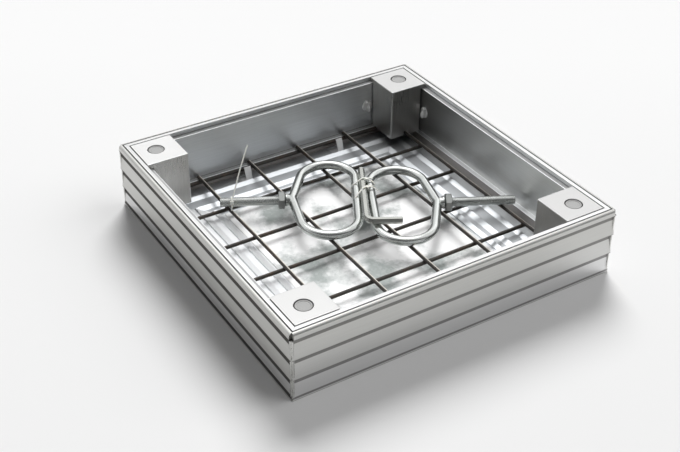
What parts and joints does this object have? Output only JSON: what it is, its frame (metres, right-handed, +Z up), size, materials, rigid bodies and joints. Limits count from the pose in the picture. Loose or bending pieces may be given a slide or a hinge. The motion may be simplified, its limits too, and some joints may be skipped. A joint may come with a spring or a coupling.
{
  "type": "recessed paving cover",
  "caption": "Square recessed access cover: a ribbed aluminium frame with a lift-out paving tray, corner boxes, reinforcing mesh and loose lifting handles.",
  "frame": {"origin": "centre of the frame's base, on the surface that the frame stands on", "axes": "+X along the front side, +Y towards the back, +Z up through the open top of the tray"},
  "size_m": [0.44, 0.44, 0.09],
  "materials": {
    "frame_aluminium": "mill-finish extruded, satin",
    "tray_aluminium": "mill-finish extruded, bright satin",
    "box_aluminium": "pale satin",
    "galvanised_sheet": "bright zinc with soft spangle",
    "zinc_steel": "zinc plated",
    "handle_steel": "zinc plated, bright",
    "key_steel": "zinc plated, satin",
    "mesh_steel": "drawn steel wire with dark rust",
    "seal_rubber": "matt black",
    "cap_plastic": "moulded grey",
    "tie_plastic": "natural nylon, slightly translucent"
  },
  "bodies": {
    "root": {"frame_rail_back": "frame_aluminium", "tray_rail_back": "tray_aluminium", "frame_rail_left": "frame_aluminium", "tray_rail_left": "tray_aluminium", "frame_rail_front": "frame_aluminium", "tray_rail_front": "tray_aluminium", "frame_rail_right": "frame_aluminium", "tray_rail_right": "tray_aluminium", "frame_corner_welds": "frame_aluminium", "frame_gasket": "seal_rubber", "tray_floor_sheet": "galvanised_sheet", "frame_lug_back_right": "frame_aluminium", "corner_box_back_right": "box_aluminium", "corner_cap_back_right": "cap_plastic", "lifting_bush_back_right": "zinc_steel", "locking_bolt_back_right": "zinc_steel", "frame_lug_back_left": "frame_aluminium", "corner_box_back_left": "box_aluminium", "corner_cap_back_left": "cap_plastic", "lifting_bush_back_left": "zinc_steel", "locking_bolt_back_left": "zinc_steel", "frame_lug_front_left": "frame_aluminium", "corner_box_front_left": "box_aluminium", "corner_cap_front_left": "cap_plastic", "lifting_bush_front_left": "zinc_steel", "locking_bolt_front_left": "zinc_steel", "frame_lug_front_right": "frame_aluminium", "corner_box_front_right": "box_aluminium", "corner_cap_front_right": "cap_plastic", "lifting_bush_front_right": "zinc_steel", "locking_bolt_front_right": "zinc_steel", "bolt_washers": "zinc_steel", "box_screws": "zinc_steel", "box_screw_washers": "zinc_steel", "mesh_bar_x_1": "mesh_steel", "mesh_bar_y_1": "mesh_steel", "mesh_bar_x_2": "mesh_steel", "mesh_bar_y_2": "mesh_steel", "mesh_bar_x_3": "mesh_steel", "mesh_bar_y_3": "mesh_steel", "mesh_bar_x_4": "mesh_steel", "mesh_bar_y_4": "mesh_steel", "mesh_bar_x_5": "mesh_steel", "mesh_bar_y_5": "mesh_steel", "mesh_bar_x_6": "mesh_steel", "mesh_bar_y_6": "mesh_steel", "handle_ring_left": "handle_steel", "handle_nut_left": "handle_steel", "handle_shank_left": "handle_steel", "handle_ring_right": "handle_steel", "handle_nut_right": "handle_steel", "handle_shank_right": "handle_steel", "hex_key": "key_steel", "upper_tie": "tie_plastic", "lower_tie": "tie_plastic", "long_tail_tie": "tie_plastic"}
  },
  "joints": []
}
